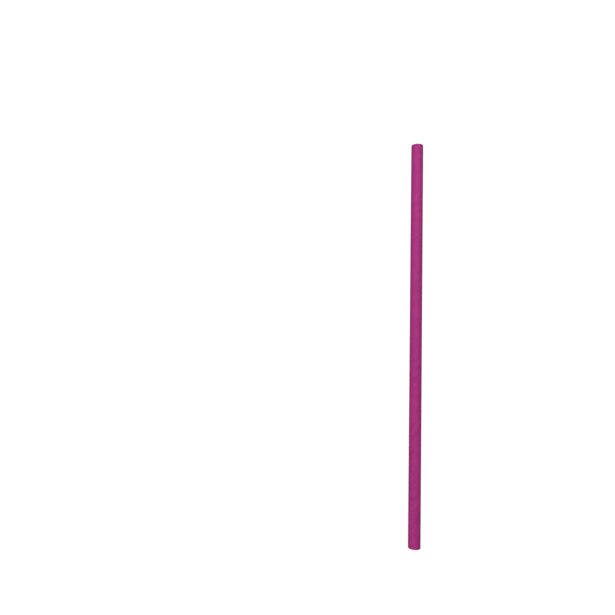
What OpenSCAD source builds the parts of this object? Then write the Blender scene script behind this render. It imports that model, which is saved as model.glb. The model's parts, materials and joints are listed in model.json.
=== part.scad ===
// A paper drinking straw: three paper strips wound in a spiral and glued into one thin tube.
// It lies on its side along Y, as it comes to rest, with Z up and its middle over the origin.

/* [Tube] */
// Length from one cut end to the other
straw_length = 200; // [120:1:260]
// Diameter over the outer paper
outer_diameter = 6; // [5:0.5:12]
// Thickness of the wall, all plies together
wall = 0.4; // [0.3:0.05:0.6]
// Radius of the worn edges where the knife cut the paper
cut_edge_radius = 0.1; // [0.04:0.02:0.14]
// Width of the faint flat that the soft wall has along the side it lies on
resting_flat = 1.3; // [0.6:0.1:1.4]

/* [Winding] */
// Width of the paper strip that the outer ply is wound from
strip_width = 14.6; // [10:0.1:15]
// Depth of the outer seam, which glue fills below that
outer_seam_depth = 0.05; // [0.04:0.01:0.08]
// Gap left between the edges of the outer strip, measured across the seam
outer_seam_gap = 0.14; // [0.08:0.02:0.3]
// Distance from the far end to where the outer seam crosses the top of the straw
outer_seam_start = 1.5; // [0:0.5:20]
// Thickness of the plain inner ply
inner_ply = 0.14; // [0.08:0.02:0.14]
// Gap left between the edges of the inner strip, measured across the seam
inner_seam_gap = 0.14; // [0.08:0.02:0.3]
// Share of one turn by which the inner seam is set off from the outer one
inner_seam_shift = 0.5; // [0.1:0.1:0.9]

/* [Hidden] */
$fn = 96;

outer_radius = outer_diameter / 2;
bore_radius = outer_radius - wall;
// How high the middle of the tube lies above the surface that the flat rests on
axis_height = sqrt(pow(outer_radius, 2) - pow(resting_flat / 2, 2));
corner_steps = 3;
steps_per_turn = 24;
cutter_sides = 4;
cutter_overrun = 0.2;
paper_colour = "mediumvioletred";

// A strip that meets its own edge all the way climbs at this angle to a ring round the tube
seam_angle = asin(strip_width / (PI * outer_diameter));
// Distance along the tube from one turn of the seam to the next
seam_pitch = strip_width / cos(seam_angle);

// Points round one worn corner of the wall's outline
function worn_corner(across, along, first_angle) = [
    for (step = [0:corner_steps])
        let (angle = first_angle + 90 * step / corner_steps)
        [across + cut_edge_radius * cos(angle), along + cut_edge_radius * sin(angle)]
];

// The wall's outline beside the tube's axis
module wall_outline() {
    near = bore_radius + cut_edge_radius;
    far = outer_radius - cut_edge_radius;
    low = cut_edge_radius;
    high = straw_length - cut_edge_radius;
    polygon(concat(
        worn_corner(far, high, 0),
        worn_corner(near, high, 90),
        worn_corner(near, low, 180),
        worn_corner(far, low, 270)));
}

// The air in a seam: a thin right-handed screw between two radii, longer than the tube at both ends
module seam_cutter(from_radius, to_radius, gap, first_angle) {
    length = straw_length + 2 * cutter_overrun;
    turns = length / seam_pitch;
    width_round_tube = gap / sin(seam_angle);
    translate([0, 0, -cutter_overrun])
        linear_extrude(height = length, twist = -360 * turns,
                       slices = ceil(turns * steps_per_turn), segments = cutter_sides)
            rotate(first_angle)
                translate([from_radius, -width_round_tube / 2])
                    square([to_radius - from_radius, width_round_tube]);
}

// What the faint flat takes off the side towards +Y, which is the underside once the tube lies down
module below_the_flat() {
    translate([-outer_radius, axis_height, -cutter_overrun])
        cube([outer_diameter, outer_radius, straw_length + 2 * cutter_overrun]);
}

// The tube stands on the origin here, and its side towards -Y is the top once it lies down
module standing_tube() {
    top_side = -90;
    climb_to_crossing = cutter_overrun + straw_length - outer_seam_start;
    outer_first_angle = top_side - 360 * climb_to_crossing / seam_pitch;
    inner_first_angle = outer_first_angle + 360 * inner_seam_shift;
    difference() {
        rotate_extrude() wall_outline();
        below_the_flat();
        seam_cutter(outer_radius - outer_seam_depth, outer_radius + cutter_overrun,
                    outer_seam_gap, outer_first_angle);
        seam_cutter(bore_radius - cutter_overrun, bore_radius + inner_ply,
                    inner_seam_gap, inner_first_angle);
    }
}

module paper_tube() {
    color(paper_colour)
        translate([0, -straw_length / 2, axis_height])
            rotate([-90, 0, 0])
                standing_tube();
}

paper_tube();
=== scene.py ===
import json
import math

import bpy
import numpy as np
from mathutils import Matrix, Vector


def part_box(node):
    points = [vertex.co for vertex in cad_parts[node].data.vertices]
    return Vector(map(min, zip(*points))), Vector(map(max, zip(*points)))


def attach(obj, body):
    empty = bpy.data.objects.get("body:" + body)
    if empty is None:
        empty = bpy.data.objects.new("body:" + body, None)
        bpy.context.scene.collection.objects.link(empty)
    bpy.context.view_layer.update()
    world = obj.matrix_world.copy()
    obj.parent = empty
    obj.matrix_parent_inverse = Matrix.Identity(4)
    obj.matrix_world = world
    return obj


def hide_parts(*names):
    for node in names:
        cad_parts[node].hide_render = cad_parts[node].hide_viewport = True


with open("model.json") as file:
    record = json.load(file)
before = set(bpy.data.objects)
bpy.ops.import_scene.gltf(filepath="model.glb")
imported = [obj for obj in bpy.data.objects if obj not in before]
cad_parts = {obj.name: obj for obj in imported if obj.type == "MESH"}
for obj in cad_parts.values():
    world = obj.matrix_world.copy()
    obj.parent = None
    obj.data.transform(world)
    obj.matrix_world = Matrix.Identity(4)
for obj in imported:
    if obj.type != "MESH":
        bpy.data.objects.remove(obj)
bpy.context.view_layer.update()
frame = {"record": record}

MM = 0.001
FULL_TURN = 2 * math.pi

# The frame gives the straw's length, its radius, the height of its axis and the radius of its bore
low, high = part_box("paper_tube")
LENGTH = high.y - low.y
RADIUS = (high.x - low.x) / 2
AXIS_HEIGHT = high.z - RADIUS
BORE_RADIUS = next(m["dims"]["r_mm"] for m in frame["record"]["mounts"] if m["name"] == "bore") * MM
WALL = RADIUS - BORE_RADIUS

# How the outer strip is wound, as in the part
STRIP_WIDTH = 14.6 * MM
SEAM_START = 1.5 * MM
SEAM_ANGLE = math.asin(STRIP_WIDTH / (FULL_TURN * RADIUS))
PITCH = STRIP_WIDTH / math.cos(SEAM_ANGLE)
SEAM_AT_TOP = LENGTH / 2 - SEAM_START
# The inner seam winds half a turn away from the outer one
INNER_SEAM_PHASE = math.pi

# How thick the outer two of the three plies are
OUTER_PLY = 0.10 * MM
MIDDLE_PLY = 0.15 * MM

# The seam between the edges of the outer strip: a narrow valley between two slightly raised lips
OUTER_GAP = 0.15 * MM
OUTER_GAP_DEPTH = 0.055 * MM
LIP_HEIGHT = 0.012 * MM
LIP_AT = 0.11 * MM
LIP_WIDTH = 0.30 * MM

# The seam between the edges of the inner strip, which shows outside as a shallow dip
INNER_GAP = 0.18 * MM
INNER_GAP_DEPTH = 0.11 * MM
DIP_DEPTH = 0.006 * MM
DIP_WIDTH = 1.6 * MM

# The cut ends: the knife presses the wall inwards a little, the bore less, and wears its edges
PRESS_DEPTH = 0.05 * MM
PRESS_LENGTH = 0.5 * MM
BORE_PRESS_SHARE = 0.6
OUTER_EDGE = 0.08 * MM
INNER_EDGE = 0.05 * MM
GLUE_LINE_DEPTH = 0.018 * MM
GLUE_LINE_WIDTH = 0.012 * MM
CUT_ROUGHNESS = 0.012 * MM

# How gently the wall bends into the flat that it rests on
FLAT_SOFTNESS = 0.02 * MM

# The coloured paper is a little darker in the outer seam, partly a dark glue line and partly painted shade
# in its valley, and beside both cuts, where the darkness is painted shade for the knife-pressed rim
SEAM_SHADE_WIDTH = 0.21 * MM
SEAM_GLUE_AND_PAINTED_SHADE = 0.10
RIM_PAINTED_SHADE_LENGTH = 0.60 * MM
RIM_PAINTED_SHADE = 0.20

# How fine the mesh is: the turn from column to column, and the seam's turn from ring to ring
COLUMN_TURN = math.radians(5)
OUTER_RING_TURN = math.radians(6)
INNER_RING_TURN = math.radians(8)
EDGE_STEPS = 4

# How far from a seam's middle its closer columns lie, and how far from a cut its closer rings lie
OUTER_SEAM_LINES = np.array([0.035, 0.055, 0.075, 0.11, 0.16, 0.25, 0.40, 0.70, 1.10]) * MM
INNER_SEAM_LINES = np.array([0.05, 0.07, 0.09, 0.16, 0.35, 0.80]) * MM
END_LINES = np.array([0.50, 0.38, 0.26, 0.16]) * MM

# The sheet that the surface is laid out on: the share of its height for each of the six parts of the wall
SHEET_SHARES = np.array([0.34, 0.34, 0.04, 0.10, 0.10, 0.04])
SHEET_MARGIN = 0.003
FIRST_BORE_PART = 3
FACE_CORNERS = 4

# The papers: linear colour, how much it varies, how pale the least dyed fibres are and how rough it is
DYED_PAPER = {"colour": (0.430, 0.0115, 0.211), "contrast": 0.12, "paleness": 0.025, "roughness": 0.72}
PLAIN_PAPER = {"colour": (0.76, 0.73, 0.66), "contrast": 0.06, "paleness": 0.0, "roughness": 0.85}
ROUGHNESS_SPREAD = 0.05
SPECULAR_LEVEL = 0.4
BUMP_STRENGTH = 0.6
BUMP_DEPTH = 0.03 * MM

# The noises that make up paper: lumps to a millimetre along and across the strip, and levels of detail
FIBRES = {"along": 1.1, "across": 9.0, "detail": 4}
CROSS_FIBRES = {"along": 7.0, "across": 1.6, "detail": 3}
BLOTCHES = {"along": 0.22, "across": 0.45, "detail": 3}
GRAIN = {"along": 14, "across": 14, "detail": 2}

# How much fibres, cross fibres, blotches and grain count, in this order, in the colour and in the relief
COLOUR_SHARES = (0.30, 0.25, 0.30, 0.15)
RELIEF_SHARES = (0.55, 0.15, 0.20, 0.10)

# Where noise has its middle, and how far from it a single noise and the sum of several of them mostly reach
NOISE_MIDDLE = 0.5
NOISE_REACH = 0.2
SUM_REACH = 0.12

# The stage: a pale floor a hair below the straw, which the camera sees as white apart from a soft shadow
FLOOR_SIZE = 4.0
FLOOR_DROP = 0.02 * MM
FLOOR_COLOUR = (0.34, 0.34, 0.34, 1)
# The glow that makes it white is weaker round the straw, where it would hide the shadow
NEAR_GLOW = {"distance": 0.15, "strength": 0.82}
FAR_GLOW = {"distance": 0.60, "strength": 1.0}

# Light from a broad panel above the far left, a long low one in front and an even fill from all round
MAIN_PANEL = {"place": (-0.10, 0.39, 0.62), "width": 0.45, "height": 0.45, "power": 4.02}
FRONT_PANEL = {"place": (-0.14, -0.62, 0.14), "width": 0.80, "height": 0.24, "power": 1.6}
FILL_STRENGTH = 0.22
WHITE = (1, 1, 1, 1)

# The camera looks down from above the middle of the straw's left side, as the photograph does
CAMERA_PLACE = (-43.568 * MM, -5.843 * MM, 263.60 * MM)
CAMERA_TURN = [math.radians(angle) for angle in (4.701, 2.27, 1.415)]
CAMERA_LENS = 30.32
CAMERA_SENSOR = 36.0
CAMERA_NEAREST = 10 * MM


def across_per_radian(radius):
    """Distance across the seam for each radian round the tube at this radius."""
    return radius * math.sin(math.atan2(PITCH, FULL_TURN * radius))


def column_phases():
    """The angle from the outer seam to each column of the mesh. Columns wind along the tube with the seams,
    and lie closer together beside them."""
    near_outer = OUTER_SEAM_LINES / across_per_radian(RADIUS)
    near_inner = INNER_SEAM_LINES / across_per_radian(BORE_RADIUS)
    first = near_outer[-1]
    last = INNER_SEAM_PHASE - near_inner[-1]
    between = np.linspace(first, last, round((last - first) / COLUMN_TURN) + 1)[1:-1]
    half = np.concatenate([near_outer, between, INNER_SEAM_PHASE - near_inner[::-1]])
    return np.concatenate([[0], half, [INNER_SEAM_PHASE], FULL_TURN - half[::-1]])


PHASES = column_phases()
FROM_OUTER_SEAM = np.minimum(PHASES, FULL_TURN - PHASES) * across_per_radian(RADIUS)
TURN_FROM_INNER_SEAM = np.abs(PHASES - INNER_SEAM_PHASE)


def smooth_step(value, start, end):
    """0 at start and 1 at end, with an even slope between."""
    share = np.clip((value - start) / (end - start), 0, 1)
    return share * share * (3 - 2 * share)


def valley(distance, width):
    """1 on the floor of a gap of this width and 0 outside it, with sloping sides."""
    return 1 - smooth_step(distance, width / 4, width / 2)


def swell(distance, width):
    """A round bump, 1 in the middle and 0 at half its width."""
    return np.cos(np.clip(2 * distance / width, 0, 1) * math.pi / 2) ** 2


def turn_at(y):
    """Angle from the top of the straw to the outer seam at this place along it, towards +X."""
    return FULL_TURN * (y - SEAM_AT_TOP) / PITCH


class Waves:
    """A smooth random relief round and along the tube, from sine waves with a fixed seed."""

    def __init__(self, seed, count, most_round, shortest, height):
        draw = np.random.default_rng(seed)
        longest_to_shortest = 6
        self.round = draw.integers(-most_round, most_round + 1, count)
        self.along = FULL_TURN / (shortest * draw.uniform(1, longest_to_shortest, count))
        self.start = FULL_TURN * draw.random(count)
        self.height = height / math.sqrt(count)

    def at(self, angle, y):
        total = np.zeros_like(angle)
        for turns, along, start in zip(self.round, self.along, self.start):
            total += np.sin(turns * angle + along * y + start)
        return self.height * total


wall_relief = Waves(seed=3, count=24, most_round=6, shortest=3 * MM, height=0.003 * MM)
cut_relief = Waves(seed=5, count=30, most_round=26, shortest=0.12 * MM, height=0.010 * MM)


def press_at(y):
    """How far the knife pressed the wall inwards at this place along the straw."""
    from_end = LENGTH / 2 - abs(y)
    return PRESS_DEPTH * max(0, 1 - from_end / PRESS_LENGTH) ** 2


def outer_ring(y):
    """The outer surface at this place along the straw: its radius at each column."""
    relief = LIP_HEIGHT * swell(np.abs(FROM_OUTER_SEAM - LIP_AT), LIP_WIDTH)
    relief -= (OUTER_GAP_DEPTH + LIP_HEIGHT) * valley(FROM_OUTER_SEAM, OUTER_GAP)
    relief -= DIP_DEPTH * swell(TURN_FROM_INNER_SEAM * across_per_radian(RADIUS), DIP_WIDTH)
    relief += wall_relief.at(PHASES + turn_at(y), y)
    return RADIUS - LIP_HEIGHT - press_at(y) + np.minimum(relief, LIP_HEIGHT)


def inner_ring(y):
    """The surface of the bore at this place along the straw: its radius at each column."""
    relief = INNER_GAP_DEPTH * valley(TURN_FROM_INNER_SEAM * across_per_radian(BORE_RADIUS), INNER_GAP)
    relief -= wall_relief.at(PHASES + turn_at(y), y)
    return BORE_RADIUS - BORE_PRESS_SHARE * press_at(y) + relief


def end_profile():
    """Points over the cut end from the outer surface to the bore: depth below the outer surface, distance
    back from the end, and whether the point is on the coloured ply."""
    points = []
    angles = np.linspace(0, math.pi / 2, EDGE_STEPS + 1)
    for angle in angles:
        points.append((OUTER_EDGE * (1 - math.cos(angle)), OUTER_EDGE * (1 - math.sin(angle)), True))
    # The plies meet in a fine groove, and inside each groove the next ply stands a little proud
    for line in (OUTER_PLY, OUTER_PLY + MIDDLE_PLY):
        coloured = line == OUTER_PLY
        points.append((line - GLUE_LINE_WIDTH, 0.0, coloured))
        points.append((line, GLUE_LINE_DEPTH, coloured))
        points.append((line + GLUE_LINE_WIDTH, 0.0, False))
        points.append((line + MIDDLE_PLY / 2, -CUT_ROUGHNESS / 2, False))
    for angle in angles:
        points.append((WALL - INNER_EDGE * (1 - math.sin(angle)), INNER_EDGE * (1 - math.cos(angle)), False))
    return points


def end_rings(end):
    """The rings over the cut at this end of the straw, from the outer surface to the bore."""
    rings = []
    outer = outer_ring(end)
    inner = inner_ring(end)
    angle = PHASES + turn_at(end)
    for depth, back, coloured in end_profile():
        radius = outer + (inner - outer) * depth / WALL
        back = np.maximum(back + CUT_ROUGHNESS + cut_relief.at(angle, depth), 0)
        rings.append((radius, end - math.copysign(1, end) * back, coloured))
    return rings


def body_rings(ring_at, ring_turn, coloured):
    """The rings between the two ends, from the near end to the far, closer together at the ends."""
    reach = LENGTH / 2 - END_LINES[0]
    steps = round(2 * reach / PITCH * FULL_TURN / ring_turn)
    places = np.linspace(-reach, reach, steps + 1)
    places = np.concatenate([-LENGTH / 2 + END_LINES[::-1], places[1:-1], LENGTH / 2 - END_LINES])
    return [(ring_at(y), np.full_like(PHASES, y), coloured) for y in places]


def wall_rings():
    """All rings of the wall in order: along the outside from the near end to the far, over the cut end, back
    along the bore and over the other cut end. Each is its radius at each column, its place along at each
    column and whether it is coloured. Also returns the ring at which each of the wall's six parts starts:
    two halves of the outside, a cut, two halves of the bore and the other cut."""
    outside = body_rings(outer_ring, OUTER_RING_TURN, True)
    inside = body_rings(inner_ring, INNER_RING_TURN, False)
    far_cut = end_rings(LENGTH / 2)
    near_cut = end_rings(-LENGTH / 2)[::-1]
    outside_half = len(outside) // 2
    inside_half = len(inside) // 2
    # The last ring of the far cut is also where the bore starts
    sizes = [outside_half, len(outside) - outside_half, len(far_cut) - 1]
    sizes += [inside_half + 1, len(inside) - inside_half, len(near_cut)]
    return outside + far_cut + inside[::-1] + near_cut, np.concatenate([[0], np.cumsum(sizes)])


def wall_points(radius, y):
    """The place of each point of the wall, which is flat where it rests, with no sharp edge to the flat."""
    angle = PHASES + turn_at(y)
    x = radius * np.sin(angle)
    z = FLAT_SOFTNESS * np.logaddexp(0, (AXIS_HEIGHT + radius * np.cos(angle)) / FLAT_SOFTNESS)
    z = np.minimum(z, AXIS_HEIGHT + RADIUS)
    return np.stack([x, y, z], -1).reshape(-1, 3)


def wall_glue_and_painted_shade(y, coloured):
    """How much darker than its paper each point of the wall is: a dark glue line and painted shade in the
    outer seam's valley, and painted shade beside the cuts.
    """
    shade = SEAM_GLUE_AND_PAINTED_SHADE * valley(FROM_OUTER_SEAM, SEAM_SHADE_WIDTH)
    # Painted shade beside both cuts, standing in for the shading of the knife-pressed rim
    shade = shade + RIM_PAINTED_SHADE * (1 - smooth_step(LENGTH / 2 - np.abs(y), 0, RIM_PAINTED_SHADE_LENGTH))
    return np.where(coloured[:, None], shade, 0)


def sheet_places(radius, y, starts, part, ring, phase):
    """The six parts of the wall side by side on one sheet. Each is stretched to the sheet's full width."""
    ring_place = np.stack([radius.mean(1), y.mean(1)], -1)
    steps = np.linalg.norm(np.diff(ring_place, axis=0, append=ring_place[:1]), axis=1)
    along = np.concatenate([[0], np.cumsum(steps)])
    begin = along[starts[:-1]][part]
    end = along[starts[1:]][part]
    bottoms = np.concatenate([[0], np.cumsum(SHEET_SHARES)])[part] + SHEET_MARGIN * (part + 0.5)
    across = SHEET_MARGIN + (1 - 2 * SHEET_MARGIN) * (along[ring] - begin) / (end - begin)
    up = bottoms + SHEET_SHARES[part] * phase / FULL_TURN
    return np.stack([across, up], -1)


def strip_places(outside, ring_y, phase):
    """Millimetres along and across the unrolled paper strip."""
    radius = np.where(outside, RADIUS, BORE_RADIUS)
    slope = np.arctan2(PITCH, FULL_TURN * radius)
    along = radius * phase * np.cos(slope) + ring_y / np.sin(slope)
    across = -radius * phase * np.sin(slope)
    return np.stack([along, across], -1) / MM


def add_map(mesh, name, places):
    layer = mesh.uv_layers.new(name=name)
    layer.uv.foreach_set("vector", places.astype(np.float32).ravel())


def build_wall(paper, plain):
    """The straw's wall as one closed mesh whose lines follow the seams."""
    rings, starts = wall_rings()
    radius = np.array([ring[0] for ring in rings])
    y = np.array([ring[1] for ring in rings])
    coloured = np.array([ring[2] for ring in rings])
    count, columns = radius.shape

    # Each face reaches from one ring and column to the next, and the last ones join the first
    row, column = (grid.ravel() for grid in np.indices((count, columns)))
    rows = np.stack([row, row, row + 1, row + 1], -1)
    reach = np.stack([column, column + 1, column + 1, column], -1)
    faces = rows % count * columns + reach % columns

    mesh = bpy.data.meshes.new("straw_wall")
    mesh.from_pydata(wall_points(radius, y).tolist(), [], faces.tolist())
    mesh.materials.append(paper)
    mesh.materials.append(plain)
    on_plain = ~(coloured[row] & coloured[(row + 1) % count])
    mesh.polygons.foreach_set("material_index", on_plain.astype(np.int32))
    mesh.polygons.foreach_set("use_smooth", np.ones(len(faces), bool))

    # The strip is cut where its own seam is, and the sheet along the other seam
    past_inner = (PHASES[column] >= INNER_SEAM_PHASE)[:, None]
    outer_phase = np.append(PHASES, FULL_TURN)[reach]
    inner_phase = outer_phase + INNER_SEAM_PHASE - FULL_TURN * past_inner
    part = (np.searchsorted(starts, row, side="right") - 1)[:, None].repeat(FACE_CORNERS, 1)
    outside = part < FIRST_BORE_PART
    strip_phase = np.where(outside, outer_phase, inner_phase)
    sheet_phase = np.where(outside, inner_phase, outer_phase)
    add_map(mesh, "strip", strip_places(outside, y.mean(1)[rows % count], strip_phase))
    add_map(mesh, "OFBake", sheet_places(radius, y, starts, part, rows, sheet_phase))

    # The shade attribute holds the painted shade of the seam's valley and the cut rims, together with the
    # seam's dark glue line
    layer = mesh.attributes.new("shade", "FLOAT", "POINT")
    layer.data.foreach_set("value", wall_glue_and_painted_shade(y, coloured).ravel().astype(np.float32))
    mesh.validate()
    mesh.update()
    wall = bpy.data.objects.new("straw_wall", mesh)
    bpy.context.scene.collection.objects.link(wall)
    return wall


class Nodes:
    """Short ways to add and join the nodes of one material."""

    def __init__(self, owner):
        owner.use_nodes = True
        self.tree = owner.node_tree
        self.tree.nodes.clear()

    def add(self, kind, inputs=None, **settings):
        node = self.tree.nodes.new(kind)
        for name, value in settings.items():
            setattr(node, name, value)
        for name, value in (inputs or {}).items():
            if isinstance(value, bpy.types.NodeSocket):
                self.tree.links.new(value, node.inputs[name])
            else:
                node.inputs[name].default_value = value
        return node

    def math(self, operation, first, second):
        return self.add("ShaderNodeMath", {0: first, 1: second}, operation=operation).outputs[0]

    def mix(self, share, first, second):
        """A colour between two others. A colour mix has its colours at inputs 6 and 7, and output 2."""
        return self.add("ShaderNodeMix", {0: share, 6: first, 7: second}, data_type="RGBA").outputs[2]

    def noise(self, place, along, across, detail):
        """Noise with this many lumps to a millimetre along and across the strip."""
        stretched = self.add("ShaderNodeMapping", {"Vector": place, "Scale": (along, across, 1)})
        settings = {"Vector": stretched.outputs["Vector"], "Scale": 1.0, "Detail": detail}
        return self.add("ShaderNodeTexNoise", settings).outputs["Fac"]

    def blend(self, noises, shares):
        """The weighted sum of several noises."""
        layers = [self.math("MULTIPLY", noise, share) for noise, share in zip(noises, shares)]
        total = layers[0]
        for layer in layers[1:]:
            total = self.math("ADD", total, layer)
        return total

    def spread(self, noise, reach, to_low, to_high):
        """Maps the values that noise has, up to this far from its middle, to another range."""
        inputs = {"From Min": NOISE_MIDDLE - reach, "From Max": NOISE_MIDDLE + reach}
        inputs.update({"Value": noise, "To Min": to_low, "To Max": to_high})
        return self.add("ShaderNodeMapRange", inputs).outputs["Result"]


def paper_material(name, colour, contrast, paleness, roughness):
    """Uncoated matt paper: soft blotches, fibres that mostly run along the strip, the palest of them less
    dyed, and a fine grain."""
    material = bpy.data.materials.new(name)
    nodes = Nodes(material)
    strip = nodes.add("ShaderNodeUVMap", uv_map="strip").outputs["UV"]
    noises = [nodes.noise(strip, **noise) for noise in (FIBRES, CROSS_FIBRES, BLOTCHES, GRAIN)]
    fibres = noises[0]

    dark = [channel * (1 - contrast) for channel in colour] + [1]
    light = [channel * (1 + contrast) + paleness * (1 - channel) for channel in colour] + [1]
    mottle = nodes.spread(nodes.blend(noises, COLOUR_SHARES), SUM_REACH, 0.0, 1.0)
    tint = nodes.mix(mottle, dark, light)
    # The coloured paper is darkened by the shade attribute: painted shade in the seam's valley and beside
    # the cuts, and a dark glue line in the seam
    shade = nodes.add("ShaderNodeAttribute", attribute_name="shade").outputs["Fac"]
    brightness = nodes.math("SUBTRACT", 1.0, shade)
    shaded = nodes.add("ShaderNodeVectorMath", {0: tint, "Scale": brightness}, operation="SCALE")

    relief = nodes.blend(noises, RELIEF_SHARES)
    bump = nodes.add("ShaderNodeBump", {"Height": relief, "Strength": BUMP_STRENGTH, "Distance": BUMP_DEPTH})
    smoothest = roughness - ROUGHNESS_SPREAD
    roughest = roughness + ROUGHNESS_SPREAD
    surface = nodes.add("ShaderNodeBsdfPrincipled", {
        "Base Color": shaded.outputs["Vector"],
        "Roughness": nodes.spread(fibres, NOISE_REACH, smoothest, roughest),
        "Specular IOR Level": SPECULAR_LEVEL,
        "Normal": bump.outputs["Normal"],
    })
    nodes.add("ShaderNodeOutputMaterial", {"Surface": surface.outputs["BSDF"]})
    return material


def floor_material():
    """Pale paint with a glow that only the camera sees, which grows with the distance from the straw."""
    material = bpy.data.materials.new("pale_floor")
    nodes = Nodes(material)
    seen = nodes.add("ShaderNodeLightPath").outputs["Is Camera Ray"]
    place = nodes.add("ShaderNodeNewGeometry").outputs["Position"]
    distance = nodes.add("ShaderNodeVectorMath", {0: place}, operation="LENGTH").outputs["Value"]
    fade = {"Value": distance, "From Min": NEAR_GLOW["distance"], "From Max": FAR_GLOW["distance"]}
    fade.update({"To Min": NEAR_GLOW["strength"], "To Max": FAR_GLOW["strength"]})
    strength = nodes.add("ShaderNodeMapRange", fade).outputs["Result"]
    glow = nodes.add("ShaderNodeEmission", {"Strength": nodes.math("MULTIPLY", seen, strength)})
    paint = nodes.add("ShaderNodeBsdfDiffuse", {"Color": FLOOR_COLOUR})
    both = nodes.add("ShaderNodeAddShader", {0: paint.outputs[0], 1: glow.outputs[0]})
    nodes.add("ShaderNodeOutputMaterial", {"Surface": both.outputs[0]})
    return material


def build_floor():
    reach = FLOOR_SIZE / 2
    corners = [(-reach, -reach), (reach, -reach), (reach, reach), (-reach, reach)]
    mesh = bpy.data.meshes.new("floor")
    mesh.from_pydata([(x, y, -FLOOR_DROP) for x, y in corners], [], [(0, 1, 2, 3)])
    mesh.materials.append(floor_material())
    floor = bpy.data.objects.new("floor", mesh)
    bpy.context.scene.collection.objects.link(floor)


def add_panel(name, place, width, height, power):
    """A light panel that faces the middle of the straw."""
    panel = bpy.data.lights.new(name, "AREA")
    panel.shape = "RECTANGLE"
    panel.size = width
    panel.size_y = height
    panel.energy = power
    lamp = bpy.data.objects.new(name, panel)
    lamp.location = place
    lamp.rotation_euler = (-lamp.location).to_track_quat("-Z", "Y").to_euler()
    bpy.context.scene.collection.objects.link(lamp)


def build_lights():
    """Two panels, and a world that the camera sees as white and the straw as a weaker fill."""
    add_panel("main_panel", **MAIN_PANEL)
    add_panel("front_panel", **FRONT_PANEL)
    world = bpy.data.worlds.new("studio")
    nodes = Nodes(world)
    seen = nodes.add("ShaderNodeLightPath").outputs["Is Camera Ray"]
    strength = nodes.math("MAXIMUM", seen, FILL_STRENGTH)
    glow = nodes.add("ShaderNodeBackground", {"Color": WHITE, "Strength": strength})
    nodes.add("ShaderNodeOutputWorld", {"Surface": glow.outputs[0]})
    bpy.context.scene.world = world


def build_camera():
    data = bpy.data.cameras.new("camera")
    data.lens = CAMERA_LENS
    data.sensor_width = CAMERA_SENSOR
    data.clip_start = CAMERA_NEAREST
    camera = bpy.data.objects.new("camera", data)
    camera.location = CAMERA_PLACE
    camera.rotation_euler = CAMERA_TURN
    bpy.context.scene.collection.objects.link(camera)
    bpy.context.scene.camera = camera


def build_straw():
    paper = paper_material("dyed_paper", **DYED_PAPER)
    plain = paper_material("plain_paper", **PLAIN_PAPER)
    wall = build_wall(paper, plain)
    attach(wall, "root")
    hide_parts("paper_tube")


build_camera()
build_straw()
build_floor()
build_lights()
bpy.context.scene.view_settings.view_transform = "Standard"
